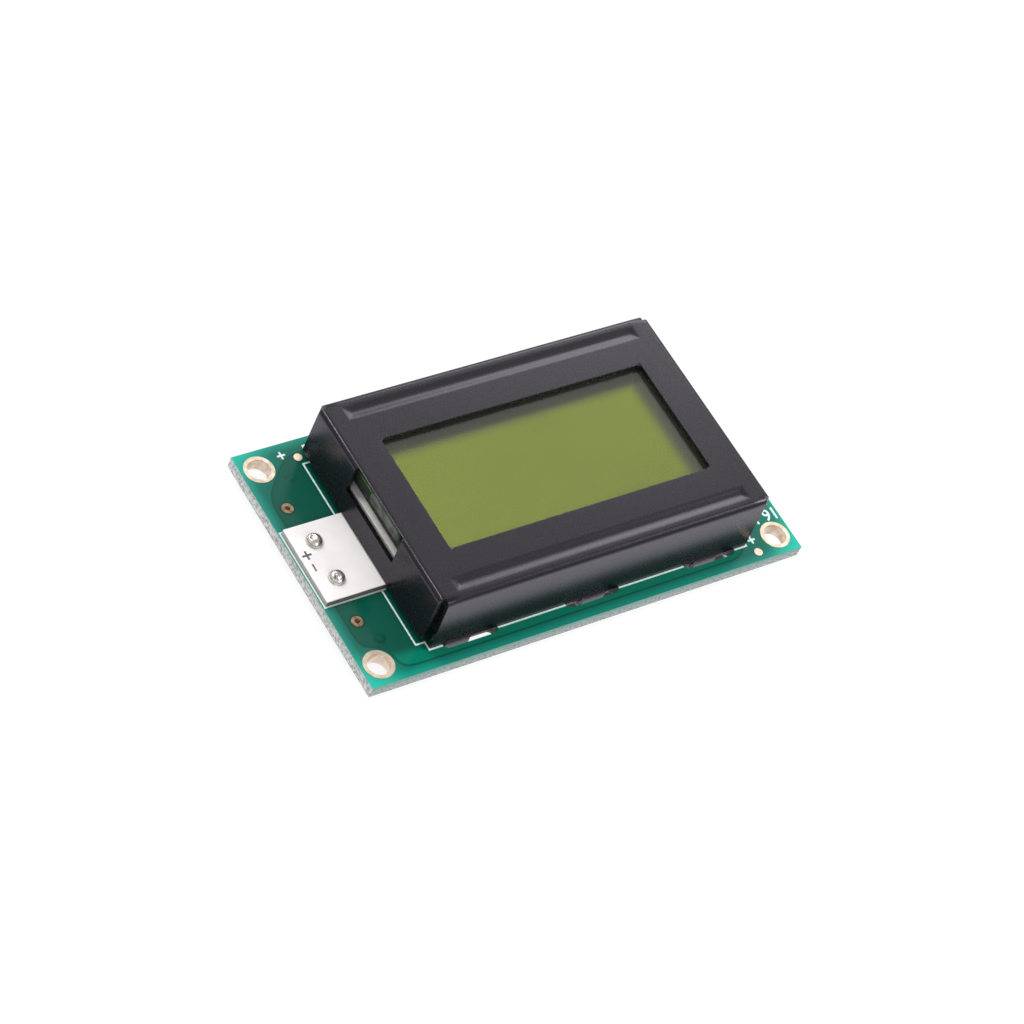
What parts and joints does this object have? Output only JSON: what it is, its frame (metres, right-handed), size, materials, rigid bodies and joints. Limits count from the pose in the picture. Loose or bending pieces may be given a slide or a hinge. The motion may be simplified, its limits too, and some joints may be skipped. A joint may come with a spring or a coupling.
{
  "type": "character lcd module",
  "caption": "Reflective character display module: a lipped black steel bezel clamps a liquid crystal cell and backlight to a green board with corner holes.",
  "frame": {"origin": "middle of the board's plan, on the plane that the module stands on", "axes": "+X along the board's long side, away from the backlight's tab; +Z out of the display's face"},
  "size_m": [0.058, 0.032, 0.0109],
  "materials": {
    "board": "green solder mask over laminate, satin",
    "white_print": "printed ink, matte",
    "black_paint": "satin black paint on steel",
    "polariser": "yellow-green film, gloss",
    "glass": "cut edges, polished faces",
    "seal": "cured resin, dull",
    "rubber_strip": "silicone, matte",
    "foam": "black foam, matte",
    "gilt": "gold over nickel, satin",
    "copper": "bare copper under flux, satin",
    "white_board": "white solder mask, satin",
    "white_plastic": "moulded, matte",
    "milky_plastic": "milky, matte",
    "led": "clear resin over a chip",
    "tinned": "tin plate, dull",
    "solder": "solder, bright",
    "black_resin": "cast resin, satin",
    "chip_black": "glazed ceramic",
    "chip_tan": "ceramic, satin"
  },
  "bodies": {
    "root": {"main_board": "board", "board_print": "white_print", "bezel": "black_paint", "front_polariser": "polariser", "rear_polariser": "polariser", "front_glass": "glass", "rear_glass": "glass", "cell_seal": "seal", "fill_port_seal": "seal", "front_contact_strip": "rubber_strip", "back_contact_strip": "rubber_strip", "front_contact_fingers": "gilt", "back_contact_fingers": "gilt", "hole_lining_front_left": "gilt", "hole_lining_front_right": "gilt", "hole_lining_back_left": "gilt", "hole_lining_back_right": "gilt", "header_linings": "gilt", "via_linings": "gilt", "fiducial_dots": "copper", "backlight_board": "white_board", "backlight_frame": "white_plastic", "backlight_diffuser": "milky_plastic", "glass_gasket": "foam", "backlight_leds": "led", "anode_pin": "tinned", "cathode_pin": "tinned", "anode_top_joint": "solder", "cathode_top_joint": "solder", "anode_bottom_joint": "solder", "cathode_bottom_joint": "solder", "controller_blob": "black_resin", "chip_resistors": "chip_black", "resistor_caps": "tinned", "chip_capacitor": "chip_tan", "capacitor_caps": "tinned"}
  },
  "joints": []
}
